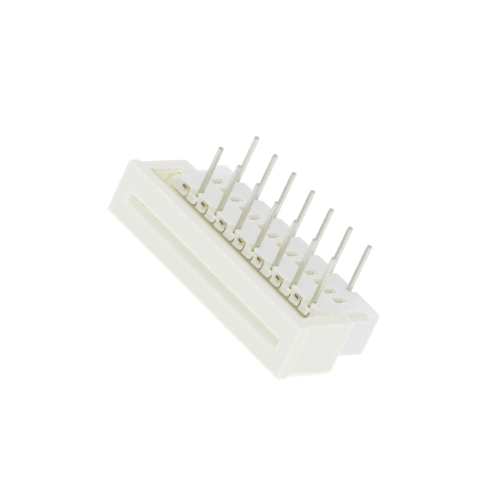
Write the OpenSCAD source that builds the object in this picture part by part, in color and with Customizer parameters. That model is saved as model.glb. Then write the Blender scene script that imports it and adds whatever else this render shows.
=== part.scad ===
// Flat cable connector, right angle, slider type, staggered through hole tails.
// Units are millimetres. The board side is +Z, the cable enters the -Y face.
// Shown with its slider pulled out, which is the state it is delivered in.

/* [Pitch and count] */
// Contact pitch
pitch = 1.25; // [1:0.05:2.54]
// Number of contacts (even)
ways = 14; // [4:2:30]

/* [Housing] */
// Depth of the housing, front face to rear face
housing_depth = 6.21; // [6:0.01:8]
// Wall from the last contact's centre to the side of the core
side_wall = 1.525; // [1.2:0.005:3]
// Width of the rail step beyond the core, each side
rail_width = 0.75; // [0.4:0.05:1.5]
// Underside of the core above the resting plane
core_bottom = 0.5; // [0.2:0.05:1.5]
// Underside of rails and ears
rail_bottom = 1.0; // [0.6:0.05:2]
// Top of the rails under the hooks
rail_top = 4.3; // [3:0.05:4.5]
// Depth of the full height ears at the rear
ear_depth = 1.25; // [0.8:0.05:2]
// Thickness of the top wall over the cavities
top_wall = 0.38; // [0.25:0.01:0.8]
// Half width of a contact cavity
cavity_half = 0.3; // [0.2:0.01:0.35]
// Width of the block in front of each contact
block_width = 0.87; // [0.7:0.01:1]
// Half width of the funnel in front of a front row tail
funnel_half = 0.42; // [0.3:0.01:0.45]
// Lower edge of the rear wall's notches and slots
notch_low = 1.6; // [1.2:0.05:3]

/* [Slider] */
// Overall height of the flange, and of the board side over the resting plane
flange_height = 4.8; // [3:0.05:8]
// Thickness of the flange at its two ends
flange_thick = 1.03; // [0.6:0.01:2]
// Thickness of the flange between the arms
plate_thick = 1.46; // [0.8:0.01:2.5]
// How far the arms reach behind the flange's front face
arm_reach = 6.05; // [4:0.05:9]
// Thickness of an arm's web, outside the rail
arm_web = 0.78; // [0.5:0.01:1.5]
// How far the arms stand in from the flange ends
arm_inset = 0.27; // [0:0.01:1]
// How far behind the flange's front face the hooked upper lip begins
hook_start = 4.6; // [4.2:0.05:5.5]
// Cable slot lower and upper edges
slot_low = 1.7; // [1:0.01:3]
slot_high = 2.73; // [1.5:0.01:4]
// Gap from the flange's front face to the housing's front face, slider out
open_gap = 3.54; // [3.5:0.01:6]
// Height of the gate mark on the right hand end
gate_height = 2.4; // [1:0.05:4]

/* [Contacts] */
// Strip thickness across the pitch
strip = 0.3; // [0.15:0.01:0.5]
// Depth of a tail
tail_depth = 0.4; // [0.2:0.01:0.6]
// Length of a tail above the board side
tail_length = 4.2; // [2:0.05:6]
// Front tail row, distance behind the housing's front face
row_front = 0.66; // [0.6:0.01:1]
// Row to row spacing
row_gap = 5.0; // [2.54:0.01:8]

/* [Hidden] */

// Clearance of the arms on the rails, and of the tongue in the mouth
slide_gap = 0.05;

top_z = flange_height;
total_depth = open_gap + housing_depth;
y_front = -total_depth / 2;
y_house = y_front + open_gap;
y_rear = y_front + total_depth;
last_x = (ways - 1) / 2 * pitch;
core_half = last_x + side_wall;
rail_half = core_half + rail_width;
y_ear = y_rear - ear_depth;
cavity_top = top_z - top_wall;
// the blocks at the front: where they end below, the top skin over them, the depth of the slits between
comb_low = 3.72;
skin_low = top_z - 0.08;
slit_depth = 0.45;
block_in = 0.6;
// front row funnels end on this floor; the front openings of the rear row's cavities
funnel_floor = 4.27;
hole_low = 4.3;
hole_high = 4.55;
// rails start behind the front face, and the core is narrower over the rails ahead of the shoulder
y_rail = y_house + 0.46;
y_shoulder = y_house + 1.06;
brow_half = core_half - 0.4;
mouth_low = 1.1;
mouth_half = core_half - 0.55;
rear_wall = 0.75;
y_cavity_end = y_rear - rear_wall;

hook_in = core_half + 0.03;
lip_in = core_half + 0.43;
web_in = rail_half + slide_gap;
arm_out = web_in + arm_web;
flange_half = arm_out + arm_inset;
slot_half = lip_in - 0.05;
arm_bottom = 0.15;
y_arm_end = y_front + arm_reach;
y_hook = y_front + hook_start;
y_plate = y_front + plate_thick;
y_channel = y_plate + 0.18;

tip_z = top_z + tail_length;
y_tail_front = y_house + row_front;
y_tail_rear = y_tail_front + row_gap;

// A box given by its low and high corners
module box(low, high) {
    translate(low)
        cube(high - low);
}

// The same box on both sides of the middle plane
module both(low, high) {
    box(low, high);
    mirror([1, 0, 0])
        box(low, high);
}

// The centre of contact number i, from the left end
function way_x(i) = -last_x + i * pitch;

// Rear tails are the even numbers, front tails the odd ones
function is_rear(i) = i % 2 == 0;

module housing_solid() {
    // core, narrower over the rails in front of the shoulder
    box([-core_half, y_house, core_bottom], [core_half, y_rear, rail_top]);
    box([-brow_half, y_house, rail_top - 0.1], [brow_half, y_rear, top_z]);
    box([-core_half, y_shoulder, rail_top - 0.1], [core_half, y_rear, top_z]);
    // rails
    both([core_half - 1, y_rail, rail_bottom], [rail_half, y_rear, rail_top]);
    // ears, with the outer top corner broken
    for (side = [0, 1]) {
        mirror([side, 0, 0])
            translate([0, y_rear, 0])
                rotate([90, 0, 0])
                    linear_extrude(height = ear_depth)
                        polygon([[core_half - 1, rail_bottom], [rail_half, rail_bottom],
                                 [rail_half, top_z - 0.15], [rail_half - 0.15, top_z],
                                 [core_half - 1, top_z]]);
    }
}

module cavity(i) {
    x = way_x(i);
    // the cavity itself, behind the front block and open to the mouth below
    box([x - cavity_half, y_rail - 0.1, comb_low - 0.5], [x + cavity_half, y_cavity_end, 3.95]);
    box([x - cavity_half, is_rear(i) ? y_rail - 0.1 : y_tail_front + tail_depth / 2 - 0.01, 3.9],
        [x + cavity_half, y_cavity_end, cavity_top]);
    // the slit beside the front block
    box([x + block_width - block_in, y_house - 1, comb_low - 0.5],
        [x + pitch - block_in, y_house + slit_depth, skin_low]);
    // the slot in the rear wall where the strip is pushed in
    box([x - strip / 2, y_cavity_end - 0.9, notch_low], [x + strip / 2, y_rear + 1, cavity_top - 0.5]);
    // the window in the board side over the strip's lance
    box([x - 0.32, y_rear - 3.4, cavity_top - 0.5], [x + 0.32, y_rear - 2.05, top_z + 1]);
    if (is_rear(i)) {
        // notch in the rear wall for the tail, its rear corners broken
        translate([x, y_rear, notch_low])
            linear_extrude(height = 5)
                polygon([[-cavity_half, -rear_wall], [cavity_half, -rear_wall], [cavity_half, -0.25],
                         [cavity_half + 0.12, 0.1], [-cavity_half - 0.12, 0.1], [-cavity_half, -0.25]]);
        box([x - cavity_half, y_cavity_end - 0.2, notch_low], [x + cavity_half, y_cavity_end + 0.2, cavity_top]);
        // small opening through the front block
        box([x - 0.27, y_house - 1, hole_low], [x + 0.24, y_rail + 0.1, hole_high]);
    } else {
        // close fitting slot for the front tail, and a funnel that narrows towards it
        box([x - strip / 2 - 0.02, y_tail_front - tail_depth / 2 - 0.02, 3.9],
            [x + strip / 2 + 0.02, y_tail_front + tail_depth / 2 + 0.02, top_z + 1]);
        translate([x, y_house, funnel_floor])
            linear_extrude(height = 2)
                polygon([[-funnel_half, -1], [funnel_half, -1], [funnel_half, 0], [0.19, 0.36],
                         [0.19, row_front + 0.1], [-0.19, row_front + 0.1], [-0.19, 0.5], [-funnel_half, 0.1]]);
    }
}

module housing() {
    color([0.93, 0.93, 0.9])
        difference() {
            housing_solid();
            // the mouth for the cable and the slider's tongue
            box([-mouth_half, y_house - 1, mouth_low], [mouth_half, y_rear - 1.6, comb_low]);
            for (i = [0 : ways - 1])
                cavity(i);
        }
}

module slider_arm() {
    // bar beside the housing, hollowed into a channel that runs on the rail
    difference() {
        union() {
            box([lip_in, y_front + 0.5, arm_bottom], [arm_out, y_arm_end, top_z]);
            box([hook_in, y_hook, rail_top + slide_gap], [arm_out, y_arm_end, top_z]);
        }
        box([core_half - 1, y_channel, rail_bottom - slide_gap], [web_in, y_arm_end + 1, rail_top + slide_gap]);
    }
}

module slider() {
    color([0.94, 0.94, 0.91])
        difference() {
            union() {
                // flange
                box([-flange_half, y_front, 0], [flange_half, y_front + flange_thick, top_z]);
                // thicker plate between the arms
                box([-lip_in - 0.1, y_front + 0.5, 0], [lip_in + 0.1, y_plate, top_z]);
                slider_arm();
                mirror([1, 0, 0])
                    slider_arm();
                // tongue under the cable
                box([-mouth_half + 0.1, y_front + 0.5, mouth_low + slide_gap], [mouth_half - 0.1, y_rail + 1.2, slot_low]);
            }
            // cable slot through the flange
            box([-slot_half, y_front - 1, slot_low], [slot_half, y_plate + 1, slot_high]);
            // gate mark on the right hand end
            translate([flange_half - 0.12, y_front + 0.45, gate_height])
                rotate([0, 90, 0])
                    cylinder(r = 0.16, h = 1, $fn = 24);
        }
}

// One contact, punched from strip; rear says which row its tail is in
module contact(x, rear) {
    f = y_rail;
    r = y_cavity_end;
    y_tail = (rear ? y_tail_rear : y_tail_front) - tail_depth / 2;
    beam_low = cavity_top - 0.6;
    tail = [[y_tail, tip_z - 0.2], [y_tail + 0.06, tip_z], [y_tail + tail_depth - 0.06, tip_z],
            [y_tail + tail_depth, tip_z - 0.2]];
    // ceiling beam and tail, which swap ends between the two kinds
    rear_top = concat([[f + 0.55, beam_low], [f + 0.7, cavity_top], [y_tail, cavity_top]], tail,
                      [[y_tail + tail_depth, 2.0]]);
    front_top = concat([[y_tail, beam_low]], tail, [[y_tail + tail_depth, cavity_top], [r - 0.05, cavity_top]]);
    // heel and spring beam with its bent contact point
    lower = [[r - 0.05, 1.7], [r - 0.85, 1.7], [r - 0.85, 2.3], [r - 1.1, 2.6], [f + 1.6, 2.6],
             [f + 1.25, 2.62], [f + 0.6, 3.2], [f + 0.9, 3.35], [f + 1.5, 3.0], [r - 1.25, 3.3],
             [r - 1.25, beam_low]];
    color([0.8, 0.8, 0.77])
        translate([x - strip / 2, 0, 0])
            rotate([90, 0, 90])
                linear_extrude(height = strip)
                    polygon(concat(rear ? rear_top : front_top, lower));
}

module contact_rear_1() { contact(way_x(0), true); }
module contact_rear_2() { contact(way_x(2), true); }
module contact_rear_3() { contact(way_x(4), true); }
module contact_rear_4() { contact(way_x(6), true); }
module contact_rear_5() { contact(way_x(8), true); }
module contact_rear_6() { contact(way_x(10), true); }
module contact_rear_7() { contact(way_x(12), true); }
module contact_front_1() { contact(way_x(1), false); }
module contact_front_2() { contact(way_x(3), false); }
module contact_front_3() { contact(way_x(5), false); }
module contact_front_4() { contact(way_x(7), false); }
module contact_front_5() { contact(way_x(9), false); }
module contact_front_6() { contact(way_x(11), false); }
module contact_front_7() { contact(way_x(13), false); }

housing();
slider();
contact_front_1();
contact_front_2();
contact_front_3();
contact_front_4();
contact_front_5();
contact_front_6();
contact_front_7();
contact_rear_1();
contact_rear_2();
contact_rear_3();
contact_rear_4();
contact_rear_5();
contact_rear_6();
contact_rear_7();
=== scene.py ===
"""Flat cable connector with a pull out slider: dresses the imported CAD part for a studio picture."""

import logging
import math
from abc import ABC, abstractmethod
from collections.abc import Iterable
from dataclasses import dataclass, field
from enum import Enum
from typing import Protocol

import bpy
from mathutils import Matrix, Vector


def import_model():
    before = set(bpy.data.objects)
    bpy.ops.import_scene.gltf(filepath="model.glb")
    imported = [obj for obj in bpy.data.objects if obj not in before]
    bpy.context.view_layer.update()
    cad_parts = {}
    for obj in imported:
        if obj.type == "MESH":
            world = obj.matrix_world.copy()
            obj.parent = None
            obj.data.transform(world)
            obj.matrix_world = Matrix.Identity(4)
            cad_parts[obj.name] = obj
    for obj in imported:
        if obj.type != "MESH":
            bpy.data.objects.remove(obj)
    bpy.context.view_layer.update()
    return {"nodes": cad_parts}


MM = 0.001
log = logging.getLogger("fpc_connector")

Colour = tuple[float, float, float]
Point = tuple[float, float, float]
Span = tuple[float, float]
Socket = bpy.types.NodeSocket
Value = Socket | float
Paint = Socket | Colour
# a painted light and shade tint and the socket that carries its amount
PaintedShading = tuple[Colour, Socket]


class Body(Enum):
    """The two bodies that the slide joint parts."""

    HOUSING = "housing"
    SLIDER = "slider"


class Noise(Enum):
    """Named grain sizes, in cycles per metre of object space."""

    MOULD_GRAIN = 9000.0
    FLOW_CLOUD = 260.0
    PLATING = 5200.0


class NodeGraph:
    """Small helper that places and joins shader nodes in one tree."""

    def __init__(self, tree: bpy.types.NodeTree) -> None:
        """Keeps the tree that the nodes go into."""
        self.tree = tree

    def add(self, kind: str, **values: object) -> bpy.types.Node:
        """Adds a node and sets its attributes.

        Args:
            kind: Blender's node type.
            values: attribute names and what they are set to.

        Returns:
            The new node.
        """
        node = self.tree.nodes.new(kind)
        for key, value in values.items():
            setattr(node, key, value)
        return node

    def join(self, start: Socket, end: Socket) -> None:
        """Links one socket to another."""
        self.tree.links.new(start, end)

    def feed(self, socket: Socket, value: Value | tuple[float, ...]) -> None:
        """Gives an input its value, whether that comes from a node or is fixed.

        Args:
            socket: the input.
            value: an output socket, or what the input is set to.
        """
        if isinstance(value, Socket):
            self.join(value, socket)
        else:
            socket.default_value = value

    def math(self, operation: str, first: Value, second: Value = 0.0) -> Socket:
        """Works out one number from two.

        Args:
            operation: name of the Math node's operation.
            first: a socket or a constant.
            second: a socket or a constant.

        Returns:
            The socket that carries the answer.
        """
        node = self.add("ShaderNodeMath", operation=operation)
        self.feed(node.inputs[0], first)
        self.feed(node.inputs[1], second)
        return node.outputs["Value"]

    def fade(self, value: Socket, start: float, end: float) -> Socket:
        """Smooth step: nothing at start, all of it at end.

        Args:
            value: the number that is looked at.
            start: where the answer is 0.
            end: where the answer is 1.

        Returns:
            The socket that carries the answer.
        """
        node = self.add("ShaderNodeMapRange", interpolation_type="SMOOTHSTEP")
        node.inputs["From Min"].default_value = start
        node.inputs["From Max"].default_value = end
        self.join(value, node.inputs["Value"])
        return node.outputs["Result"]

    def ramp(self, value: Socket, span_mm: Span, from_mm: float = 0.0) -> Socket:
        """Smooth step over a span of millimetres, counted from a place, for a length in metres."""
        start, end = span_mm
        return self.fade(value, (from_mm + start) * MM, (from_mm + end) * MM)

    def all_of(self, *factors: Socket) -> Socket:
        """Product of several factors.

        Args:
            factors: the sockets that carry them.

        Returns:
            The socket that carries the product.
        """
        whole = factors[0]
        for factor in factors[1:]:
            whole = self.math("MULTIPLY", whole, factor)
        return whole

    def mix(self, first: Paint, second: Paint, factor: Socket, kind: str = "MIX") -> Socket:
        """Blends two colours.

        Args:
            first: a socket or a colour.
            second: a socket or a colour.
            factor: how much of the second.
            kind: blend type.

        Returns:
            The socket that carries the colour.
        """
        node = self.add("ShaderNodeMix", data_type="RGBA", blend_type=kind)
        self.join(factor, node.inputs["Factor"])
        for label, paint in (("A", first), ("B", second)):
            self.feed(node.inputs[label], paint if isinstance(paint, Socket) else opaque(paint))
        return node.outputs["Result"]

    def noise(self, grain: Noise) -> Socket:
        """Soft random pattern in object space.

        Args:
            grain: how fine it is.

        Returns:
            The socket that carries it, from 0 to 1.
        """
        spot = self.add("ShaderNodeTexCoord")
        node = self.add("ShaderNodeTexNoise")
        node.inputs["Scale"].default_value = grain.value
        self.join(spot.outputs["Object"], node.inputs["Vector"])
        return node.outputs["Fac"]

    def place(self) -> tuple[Socket, Socket, Socket]:
        """Finds X, Y and Z in object space.

        Returns:
            The three sockets that carry them, in metres.
        """
        spot = self.add("ShaderNodeTexCoord")
        apart = self.add("ShaderNodeSeparateXYZ")
        self.join(spot.outputs["Object"], apart.inputs["Vector"])
        return apart.outputs["X"], apart.outputs["Y"], apart.outputs["Z"]


def opaque(colour: Colour) -> tuple[float, float, float, float]:
    """Adds a full alpha to a colour."""
    return (*colour, 1.0)


class Marks(Protocol):
    """Where light and shade are painted on one moulding."""

    def painted_shading(self, g: NodeGraph) -> list[PaintedShading]:
        """Pairs of a painted light and shade tint and the socket that carries its amount, in the
        order they are laid on.
        """


@dataclass(frozen=True)
class HousingMarks:
    """Painted shade in the openings over the rear contacts and on the inside, and painted light on
    the ends.

    Spans are in millimetres, from no tint to all of it. The golden tint on the thin wall beside
    each opening is painted shade.
    """

    pitch_mm: float = 2.5
    first_mm: float = -8.125
    last_x: Span = (8.4, 8.3)
    face_y_mm: float = -1.335
    # painted shade: dark colour in each opening over a rear contact, with the spans that place it
    centre_mm: Span = (-0.015, 4.425)
    half_mm: Span = (0.255, 0.125)
    rim: Span = (0.02, 0.005)
    hollow_start: Span = (0.02, 0.10)
    hollow_stop: Span = (1.2, 1.0)
    painted_hole_shade: Colour = (0.45, 0.36, 0.21)
    # painted shade: golden tint on the thin wall beside and above each opening, under the tab
    opening_shade_centre_mm: Span = (0.20, 4.50)
    opening_shade_spread: Span = (0.60, 0.09)
    opening_shade_top_z: Span = (4.76, 4.72)
    opening_shade_depth: Span = (0.7, 0.5)
    shading_paint: Colour = (0.73, 0.66, 0.51)
    # painted shade: olive tint on the housing's inside
    inside_low_z: Span = (0.8, 0.9)
    inside_high_z: Span = (3.74, 3.7)
    inside_y: Span = (3.6, 3.5)
    inside_half_x: Span = (9.6, 9.5)
    painted_inside_shade: Colour = (0.88, 0.88, 0.70)
    # painted light: lighter ends of the housing's top
    ends_x: Span = (7.6, 9.4)
    ends_y: Span = (0.6, 4.0)
    ends_z: Span = (4.6, 4.7)
    painted_end_light: Colour = (1.06, 1.06, 1.07)

    def painted_shading(self, g: NodeGraph) -> list[PaintedShading]:
        """Painted shade beside and in the openings, painted olive shade inside and painted light on
        the ends.

        Args:
            g: the material's node graph.

        Returns:
            Pairs of a tint and the socket that carries its amount.
        """
        x, y, z = g.place()
        across = self._across(g, x)
        out = g.math("ABSOLUTE", x)
        within = g.ramp(x, self.last_x)
        rims = []
        squares = []
        for value, centre, half, middle in zip(
            (across, z), self.centre_mm, self.half_mm, self.opening_shade_centre_mm
        ):
            away = g.math("ABSOLUTE", g.math("SUBTRACT", value, centre * MM))
            rims.append(g.ramp(away, self.rim, half))
            squares.append(g.math("POWER", g.math("SUBTRACT", value, middle * MM), 2.0))
        # painted shade in the openings
        painted_hole_shade = g.all_of(
            *rims,
            within,
            g.ramp(y, self.hollow_start, self.face_y_mm),
            g.ramp(y, self.hollow_stop, self.face_y_mm),
        )
        # painted golden shade beside the openings
        opening_shade = g.all_of(
            g.ramp(g.math("SQRT", g.math("ADD", *squares)), self.opening_shade_spread),
            g.ramp(z, self.opening_shade_top_z),
            g.ramp(y, self.opening_shade_depth, self.face_y_mm),
            within,
        )
        # painted olive shade inside the housing
        painted_inside_shade = g.all_of(
            g.ramp(out, self.inside_half_x),
            g.ramp(y, self.inside_y),
            g.ramp(z, self.inside_low_z),
            g.ramp(z, self.inside_high_z),
        )
        # painted light on the housing's ends
        painted_end_light = g.all_of(g.ramp(out, self.ends_x), g.ramp(y, self.ends_y), g.ramp(z, self.ends_z))
        return [
            (self.shading_paint, opening_shade),
            (self.painted_hole_shade, painted_hole_shade),
            (self.painted_inside_shade, painted_inside_shade),
            (self.painted_end_light, painted_end_light),
        ]

    def _across(self, g: NodeGraph, x: Socket) -> Socket:
        """Finds how far X is from the nearest rear contact.

        A whole step is added, so the remainder is positive left of the first contact as well.

        Args:
            g: the material's node graph.
            x: the socket that carries X.

        Returns:
            The socket that carries the distance, positive to the right.
        """
        step = self.pitch_mm * MM
        shifted = g.math("ADD", x, 1.5 * step - self.first_mm * MM)
        return g.math("SUBTRACT", g.math("MODULO", shifted, step), 0.5 * step)


@dataclass(frozen=True)
class SliderMarks:
    """Where light and shade are painted on the slider, behind the plate and in the cable slot.

    Spans are in millimetres, from no tint to all of it. Those named for the front or the rear are
    measured from the flange's front and the plate's rear edge.
    """

    front_y_mm: float = -4.875
    rear_y_mm: float = -3.415
    # painted shade: band along the plate's rear edge
    band_rear: Span = (-0.55, 0.0)
    band_rear_stop: Span = (0.2, 0.1)
    band_half_x: Span = (10.3, 10.0)
    band_z: Span = (4.4, 4.5)
    painted_edge_shade: Colour = (0.79, 0.74, 0.54)
    # painted light on the arms' inner walls and painted shade on the tongue, behind the plate
    behind_rear: Span = (-0.02, 0.02)
    inner_half_x: Span = (10.5, 10.4)
    over_slot_z: Span = (2.75, 2.85)
    wall_z: Span = (4.74, 4.14)
    painted_wall_light: Colour = (1.18, 1.17, 0.96)
    tongue_z: Span = (3.6, 3.4)
    painted_tongue_shade: Colour = (0.88, 0.87, 0.68)
    # painted light in the cable slot, bluer at its mouth
    slot_low_z: Span = (1.66, 1.69)
    slot_high_z: Span = (2.71, 2.68)
    slot_front: Span = (0.0, 0.12)
    painted_slot_light: Colour = (1.10, 1.105, 1.08)
    mouth_front: Span = (0.9, 0.1)
    painted_mouth_light: Colour = (1.03, 1.035, 1.10)

    def painted_shading(self, g: NodeGraph) -> list[PaintedShading]:
        """Painted shade on the plate's rear edge and the tongue behind it, painted light on the walls
        behind it and in the cable slot.

        Args:
            g: the material's node graph.

        Returns:
            Pairs of a tint and the socket that carries its amount.
        """
        x, y, z = g.place()
        out = g.math("ABSOLUTE", x)
        between = g.ramp(out, self.inner_half_x)
        # painted shade along the plate's rear edge
        painted_edge_shade = g.all_of(
            g.ramp(y, self.band_rear, self.rear_y_mm),
            g.ramp(y, self.band_rear_stop, self.rear_y_mm),
            g.ramp(out, self.band_half_x),
            g.ramp(z, self.band_z),
        )
        # behind the plate: painted light on the walls, painted shade on the tongue
        behind = g.all_of(
            g.ramp(y, self.behind_rear, self.rear_y_mm), between, g.ramp(z, self.over_slot_z)
        )
        # painted light in the cable slot
        painted_slot_light = g.all_of(
            g.ramp(z, self.slot_low_z),
            g.ramp(z, self.slot_high_z),
            between,
            g.ramp(y, self.slot_front, self.front_y_mm),
        )
        return [
            (self.painted_edge_shade, painted_edge_shade),
            (self.painted_wall_light, g.all_of(behind, g.ramp(z, self.wall_z))),
            (self.painted_tongue_shade, g.all_of(behind, g.ramp(z, self.tongue_z))),
            (self.painted_slot_light, painted_slot_light),
            (self.painted_mouth_light, g.all_of(painted_slot_light, g.ramp(y, self.mouth_front, self.front_y_mm))),
        ]


@dataclass(frozen=True)
class Nylon:
    """Off-white moulded nylon, with a faint painted glow for the light that has travelled through it,
    and painted light and shade in its recesses.
    """

    name: str
    marks: Marks
    skin: Colour = (0.575, 0.58, 0.57)
    # painted light and shade: the glows stand in for light that has passed through the nylon, warmer
    # in recesses; the olive colour and the dim glow are painted shade in the narrowest gaps
    painted_gap_shade: Colour = (0.32, 0.29, 0.15)
    glow: Colour = (0.25, 0.25, 0.220)
    painted_recess_light: Colour = (0.33, 0.33, 0.23)
    painted_gap_shade_glow: Colour = (0.09, 0.085, 0.045)
    roughness: float = 0.55
    refraction: float = 1.5
    specular: float = 0.3
    grain: float = 0.03
    grain_strength: float = 0.25
    grain_depth_mm: float = 0.02
    reach_mm: float = 0.7
    seep: float = 0.4
    seep_mm: Colour = (0.7, 0.66, 0.45)


@dataclass(frozen=True)
class Tinned:
    """Tin plated tail over bare bronze in the cavity. Spans are in millimetres."""

    name: str = "tinned bronze"
    tin: Colour = (0.81, 0.81, 0.785)
    tin_dull: Colour = (0.66, 0.66, 0.61)
    bronze: Colour = (0.42, 0.27, 0.12)
    # painted reflection: olive tint low on the front row's tails
    painted_low_reflection: Colour = (1.0, 0.99, 0.91)
    sheared: Colour = (0.64, 0.61, 0.57)
    roughness: float = 0.38
    plated_z: Span = (4.25, 4.45)
    painted_low_reflection_z: Span = (7.4, 6.5)
    painted_low_reflection_y: Span = (1.8, 0.9)
    sheared_z: Span = (8.83, 8.88)


@dataclass(frozen=True)
class Paper:
    """Plain pale studio floor that gives off some light of its own."""

    name: str = "studio floor"
    colour: Colour = (0.62, 0.62, 0.62)
    shine: Colour = (1.0, 1.0, 1.0)
    lift: float = 0.50
    roughness: float = 0.9


class Group(ABC):
    """A shader node group that is built once and shared."""

    NAME = ""
    COLOURS_IN: tuple[str, ...] = ()
    NUMBERS_IN: tuple[str, ...] = ()
    COLOURS_OUT: tuple[str, ...] = ()
    NUMBERS_OUT: tuple[str, ...] = ()

    def build(self) -> bpy.types.NodeTree:
        """Makes the group, or finds it if it is there already.

        Returns:
            The shader node group.
        """
        if self.NAME in bpy.data.node_groups:
            return bpy.data.node_groups[self.NAME]
        tree = bpy.data.node_groups.new(self.NAME, "ShaderNodeTree")
        for labels, way, kind in (
            (self.COLOURS_IN, "INPUT", "NodeSocketColor"),
            (self.NUMBERS_IN, "INPUT", "NodeSocketFloat"),
            (self.COLOURS_OUT, "OUTPUT", "NodeSocketColor"),
            (self.NUMBERS_OUT, "OUTPUT", "NodeSocketFloat"),
        ):
            for label in labels:
                tree.interface.new_socket(label, in_out=way, socket_type=kind)
        g = NodeGraph(tree)
        self.fill(g, g.add("NodeGroupInput"), g.add("NodeGroupOutput"))
        return tree

    @abstractmethod
    def fill(self, g: NodeGraph, source: bpy.types.Node, sink: bpy.types.Node) -> None:
        """Puts the group's own nodes between its inputs and its outputs."""


class RecessGroup(Group):
    """Paints light and shade by occlusion: a warmer painted glow in recesses and painted olive shade
    in the narrowest gaps, over a cloudy skin.
    """

    NAME = "painted recess light and shade"
    COLOURS_IN = ("Skin", "Painted Gap Shade", "Glow", "Painted Recess Light", "Painted Gap Shade Glow")
    NUMBERS_IN = ("Reach", "Grain")
    COLOURS_OUT = ("Colour", "Glow")
    NUMBERS_OUT = ("Height",)
    SAMPLES = 8
    # occlusion spans for the painted recess light and the painted shade in the narrowest gaps
    RECESS: Span = (0.80, 0.35)
    GAP: Span = (0.16, 0.03)
    CLOUD: Span = (0.985, 1.015)

    def fill(self, g: NodeGraph, source: bpy.types.Node, sink: bpy.types.Node) -> None:
        """Puts the group's own nodes between its inputs and its outputs.

        Args:
            g: the group's node graph.
            source: the node that carries the inputs.
            sink: the node that takes the outputs.
        """
        given = source.outputs
        shade = g.add("ShaderNodeAmbientOcclusion", samples=self.SAMPLES)
        g.join(given["Reach"], shade.inputs["Distance"])
        recess = g.fade(shade.outputs["AO"], *self.RECESS)
        gap = g.fade(shade.outputs["AO"], *self.GAP)
        warm = g.mix(given["Glow"], given["Painted Recess Light"], recess)
        g.join(g.mix(warm, given["Painted Gap Shade Glow"], gap), sink.inputs["Glow"])
        shift = g.add("ShaderNodeMapRange")
        shift.inputs["To Min"].default_value, shift.inputs["To Max"].default_value = self.CLOUD
        g.join(g.noise(Noise.FLOW_CLOUD), shift.inputs["Value"])
        tone = g.add("ShaderNodeVectorMath", operation="SCALE")
        g.join(g.mix(given["Skin"], given["Painted Gap Shade"], gap), tone.inputs[0])
        g.join(shift.outputs["Result"], tone.inputs["Scale"])
        g.join(tone.outputs["Vector"], sink.inputs["Colour"])
        rise = g.math("MULTIPLY", g.noise(Noise.MOULD_GRAIN), given["Grain"])
        g.join(rise, sink.inputs["Height"])


class PaintedShadingGroup(Group):
    """Lays one painted light and shade tint over both the colour and the glow of a moulding."""

    NAME = "shading_paint"
    COLOURS_IN = ("Colour", "Glow", "PaintedShading")
    NUMBERS_IN = ("Amount",)
    COLOURS_OUT = ("Colour", "Glow")

    def fill(self, g: NodeGraph, source: bpy.types.Node, sink: bpy.types.Node) -> None:
        """Puts the group's own nodes between its inputs and its outputs.

        Args:
            g: the group's node graph.
            source: the node that carries the inputs.
            sink: the node that takes the outputs.
        """
        given = source.outputs
        for label in self.COLOURS_OUT:
            tinted = g.mix(given[label], given["PaintedShading"], given["Amount"], "MULTIPLY")
            g.join(tinted, sink.inputs[label])


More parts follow.
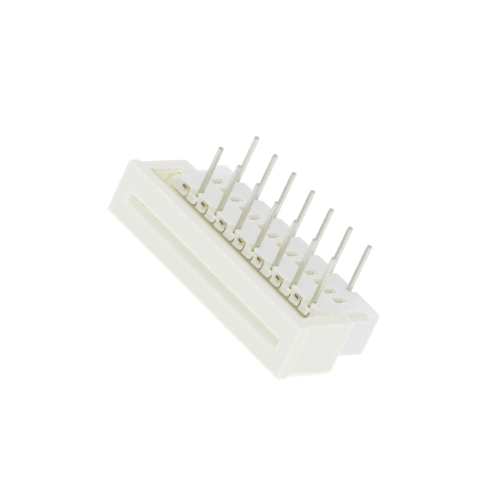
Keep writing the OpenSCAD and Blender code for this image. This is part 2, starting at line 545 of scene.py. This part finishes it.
class Finisher:
    """Turns finish records into Blender materials."""

    def nylon(self, finish: Nylon) -> bpy.types.Material:
        """Moulded nylon with painted light and shade in its recesses, its own painted light and shade
        marks and a fine moulded grain.

        Args:
            finish: the colours, sizes and marks of this nylon.

        Returns:
            The material.
        """
        material, g, shader = self._start(finish.name)
        tint = g.add("ShaderNodeGroup", node_tree=RecessGroup().build())
        paints = (finish.skin, finish.painted_gap_shade, finish.glow, finish.painted_recess_light, finish.painted_gap_shade_glow)
        for label, paint in zip(RecessGroup.COLOURS_IN, paints):
            tint.inputs[label].default_value = opaque(paint)
        tint.inputs["Reach"].default_value = finish.reach_mm * MM
        tint.inputs["Grain"].default_value = finish.grain
        colour, glow = self._marked(g, tint, finish.marks.painted_shading(g))
        g.join(colour, shader.inputs["Base Color"])
        g.join(glow, shader.inputs["Emission Color"])
        for label, value in (
            ("Emission Strength", 1.0),
            ("Roughness", finish.roughness),
            ("IOR", finish.refraction),
            ("Specular IOR Level", finish.specular),
            ("Subsurface Weight", finish.seep),
            ("Subsurface Radius", finish.seep_mm),
            ("Subsurface Scale", MM),
        ):
            shader.inputs[label].default_value = value
        bump = g.add("ShaderNodeBump")
        bump.inputs["Strength"].default_value = finish.grain_strength
        bump.inputs["Distance"].default_value = finish.grain_depth_mm * MM
        g.join(tint.outputs["Height"], bump.inputs["Height"])
        g.join(bump.outputs["Normal"], shader.inputs["Normal"])
        return material

    def tinned(self, finish: Tinned) -> bpy.types.Material:
        """Mottled tin on the tail, with a painted olive reflection low on the front row, bare bronze
        in the cavity.

        The sheared tip is duller than the sides.

        Args:
            finish: the colours and the heights where one gives way to the next.

        Returns:
            The material.
        """
        material, g, shader = self._start(finish.name)
        _, y, z = g.place()
        tin = g.mix(finish.tin_dull, finish.tin, g.noise(Noise.PLATING))
        # painted olive reflection low on the front row
        low = g.all_of(g.ramp(z, finish.painted_low_reflection_z), g.ramp(y, finish.painted_low_reflection_y))
        tail = g.mix(tin, finish.painted_low_reflection, low, "MULTIPLY")
        blank = g.mix(finish.bronze, tail, g.ramp(z, finish.plated_z))
        cut = g.mix(blank, finish.sheared, g.ramp(z, finish.sheared_z))
        g.join(cut, shader.inputs["Base Color"])
        shader.inputs["Metallic"].default_value = 1.0
        shader.inputs["Roughness"].default_value = finish.roughness
        return material

    def paper(self, finish: Paper) -> bpy.types.Material:
        """Pale matt floor that stays nearly white.

        Args:
            finish: its colour and how much light it gives off.

        Returns:
            The material.
        """
        material, _, shader = self._start(finish.name)
        shader.inputs["Base Color"].default_value = opaque(finish.colour)
        shader.inputs["Roughness"].default_value = finish.roughness
        shader.inputs["Emission Color"].default_value = opaque(finish.shine)
        shader.inputs["Emission Strength"].default_value = finish.lift
        return material

    def _marked(
        self, g: NodeGraph, tint: bpy.types.Node, painted_shading: Iterable[PaintedShading]
    ) -> tuple[Socket, Socket]:
        """Lays the painted light and shade tints one after another over a tint node's colour and
        glow.

        Args:
            g: the material's node graph.
            tint: the node whose colour and glow are stained.
            painted_shading: pairs of a painted light and shade tint and the socket that carries its
                amount.

        Returns:
            The sockets that carry the colour and glow with the painted light and shade laid on.
        """
        last = tint
        for paint, amount in painted_shading:
            shading_paint = g.add("ShaderNodeGroup", node_tree=PaintedShadingGroup().build())
            shading_paint.inputs["PaintedShading"].default_value = opaque(paint)
            g.join(amount, shading_paint.inputs["Amount"])
            for label in PaintedShadingGroup.COLOURS_OUT:
                g.join(last.outputs[label], shading_paint.inputs[label])
            last = shading_paint
        return last.outputs["Colour"], last.outputs["Glow"]

    def _start(self, name: str) -> tuple[bpy.types.Material, NodeGraph, bpy.types.Node]:
        """Makes a material that has only its Principled shader and output.

        Args:
            name: what it is called.

        Returns:
            The material, its node graph and its shader.
        """
        material = bpy.data.materials.new(name)
        material.use_nodes = True
        graph = NodeGraph(material.node_tree)
        shader = next(n for n in material.node_tree.nodes if n.type == "BSDF_PRINCIPLED")
        return material, graph, shader


@dataclass(frozen=True)
class Edge:
    """How a node's sharp edges are broken."""

    radius_mm: float
    merge: bool = True
    segments: int = 2
    weld_mm: float = 0.0005
    flat_deg: float = 1.0
    sharp_deg: float = 30.0

    def soften(self, node: bpy.types.Object) -> None:
        """Rounds the edges with live modifiers, the node's own mesh staying as it is.

        Flat neighbours become one face where merge is set, which suits no face with holes in it.

        Args:
            node: the CAD node.
        """
        weld = node.modifiers.new("join faces", "WELD")
        weld.merge_threshold = self.weld_mm * MM
        if self.merge:
            flat = node.modifiers.new("clean faces", "DECIMATE")
            flat.decimate_type = "DISSOLVE"
            flat.angle_limit = math.radians(self.flat_deg)
        edge = node.modifiers.new("moulded edge", "BEVEL")
        edge.width = self.radius_mm * MM
        edge.segments = self.segments
        edge.limit_method = "ANGLE"
        edge.angle_limit = math.radians(self.sharp_deg)
        edge.miter_outer = "MITER_ARC"
        edge.harden_normals = False


def dress(node: bpy.types.Object, material: bpy.types.Material) -> None:
    """Gives a node one material all over."""
    node.data.materials.clear()
    node.data.materials.append(material)


@dataclass
class Mouldings:
    """Housing and slider, the two white mouldings."""

    housing_finish: Nylon = Nylon(
        "housing nylon", HousingMarks(), skin=(0.565, 0.57, 0.60), glow=(0.245, 0.245, 0.215)
    )
    slider_finish: Nylon = Nylon("slider nylon", SliderMarks())
    housing_edge: Edge = Edge(0.04, merge=False)
    slider_edge: Edge = Edge(0.07)

    def dress(self, nodes: dict[str, bpy.types.Object], finisher: Finisher) -> None:
        """Gives both mouldings their nylon and their rounded edges.

        Args:
            nodes: the CAD nodes by name.
            finisher: makes the materials.
        """
        for body, finish, edge in (
            (Body.HOUSING, self.housing_finish, self.housing_edge),
            (Body.SLIDER, self.slider_finish, self.slider_edge),
        ):
            dress(nodes[body.value], finisher.nylon(finish))
            edge.soften(nodes[body.value])
            log.info("dressed %s", body.value)


@dataclass
class ContactRow:
    """The punched contacts, seven with front tails and seven with rear tails."""

    finish: Tinned = Tinned()
    prefix: str = "contact_"
    edge: Edge = Edge(0.03)

    def dress(self, nodes: dict[str, bpy.types.Object], finisher: Finisher) -> None:
        """Gives every contact its plated metal and broken edges.

        Args:
            nodes: the CAD nodes by name.
            finisher: makes the material.
        """
        material = finisher.tinned(self.finish)
        for name in sorted(nodes):
            if name.startswith(self.prefix):
                dress(nodes[name], material)
                self.edge.soften(nodes[name])
                log.info("dressed %s", name)


def heading(azimuth_deg: float, elevation_deg: float) -> Vector:
    """Direction away from the part, by azimuth, 0 in front and 90 at its right, and elevation."""
    a, e = math.radians(azimuth_deg), math.radians(elevation_deg)
    return Vector((math.sin(a) * math.cos(e), -math.cos(a) * math.cos(e), math.sin(e)))


@dataclass(frozen=True)
class Lamp:
    """One large soft lamp aimed at the part."""

    name: str
    azimuth_deg: float
    elevation_deg: float
    away_m: float
    watts: float
    width_m: float = 0.25

    def hang(self) -> None:
        """Puts the lamp in the scene."""
        data = bpy.data.lights.new(self.name, "AREA")
        data.shape = "DISK"
        data.size = self.width_m
        data.energy = self.watts
        lamp = bpy.data.objects.new(self.name, data)
        back = heading(self.azimuth_deg, self.elevation_deg)
        lamp.location = back * self.away_m
        lamp.rotation_mode = "QUATERNION"
        lamp.rotation_quaternion = (-back).to_track_quat("-Z", "Y")
        bpy.context.scene.collection.objects.link(lamp)


@dataclass(frozen=True)
class Camera:
    """Long lens camera, turned about its own axis."""

    aim_mm: Point = (0.776, -1.434, 4.538)
    azimuth_deg: float = 38.959
    elevation_deg: float = 25.756
    roll_deg: float = 25.238
    distance_mm: float = 449.22
    lens_mm: float = 412.14
    sensor_mm: float = 36.0
    clip_m: Span = (0.01, 5.0)

    def place(self) -> None:
        """Puts the camera in the scene and looks through it."""
        data = bpy.data.cameras.new("camera")
        data.sensor_width = self.sensor_mm
        data.lens = self.lens_mm
        data.clip_start, data.clip_end = self.clip_m
        camera = bpy.data.objects.new("camera", data)
        a, r = math.radians(self.azimuth_deg), math.radians(self.roll_deg)
        back = heading(self.azimuth_deg, self.elevation_deg)
        side = Vector((math.cos(a), math.sin(a), 0.0))
        rise = back.cross(side)
        right = side * math.cos(r) + rise * math.sin(r)
        turn = Matrix((right, back.cross(right), back)).transposed()
        spot = Vector(self.aim_mm) * MM + back * (self.distance_mm * MM)
        camera.matrix_world = Matrix.Translation(spot) @ turn.to_4x4()
        bpy.context.scene.collection.objects.link(camera)
        bpy.context.scene.camera = camera


@dataclass
class Studio:
    """Floor, even surroundings, soft lamps and camera."""

    floor_finish: Paper = Paper()
    floor_width_m: float = 1.2
    floor_z_m: float = -0.00001
    sky: float = 0.85
    lamps: list[Lamp] = field(
        default_factory=lambda: [
            Lamp("top", -45.0, 80.0, 0.35, 0.043),
            Lamp("side", 75.0, 40.0, 0.40, 0.004),
        ]
    )
    camera: Camera = Camera()

    def build(self, finisher: Finisher) -> None:
        """Puts up the whole studio.

        Args:
            finisher: makes the floor's material.
        """
        self._floor(finisher)
        self._world()
        for lamp in self.lamps:
            lamp.hang()
        self.camera.place()
        bpy.context.scene.view_settings.view_transform = "Standard"

    def _floor(self, finisher: Finisher) -> None:
        """Lays a large flat floor just under the part.

        Args:
            finisher: makes its material.
        """
        bpy.ops.object.select_all(action="DESELECT")
        bpy.ops.mesh.primitive_plane_add(
            size=self.floor_width_m, location=(0.0, 0.0, self.floor_z_m)
        )
        floor = bpy.context.active_object
        floor.name = "floor"
        dress(floor, finisher.paper(self.floor_finish))

    def _world(self) -> None:
        """Even white surroundings."""
        world = bpy.data.worlds.new("studio")
        world.use_nodes = True
        back = world.node_tree.nodes["Background"]
        back.inputs["Color"].default_value = (1.0, 1.0, 1.0, 1.0)
        back.inputs["Strength"].default_value = self.sky
        bpy.context.scene.world = world


def main() -> None:
    """Loads the part, dresses it and lights it."""
    logging.basicConfig(level=logging.INFO, format="%(name)s %(message)s")
    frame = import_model()
    finisher = Finisher()
    Mouldings().dress(frame["nodes"], finisher)
    ContactRow().dress(frame["nodes"], finisher)
    Studio().build(finisher)


if __name__ == "__main__":
    main()
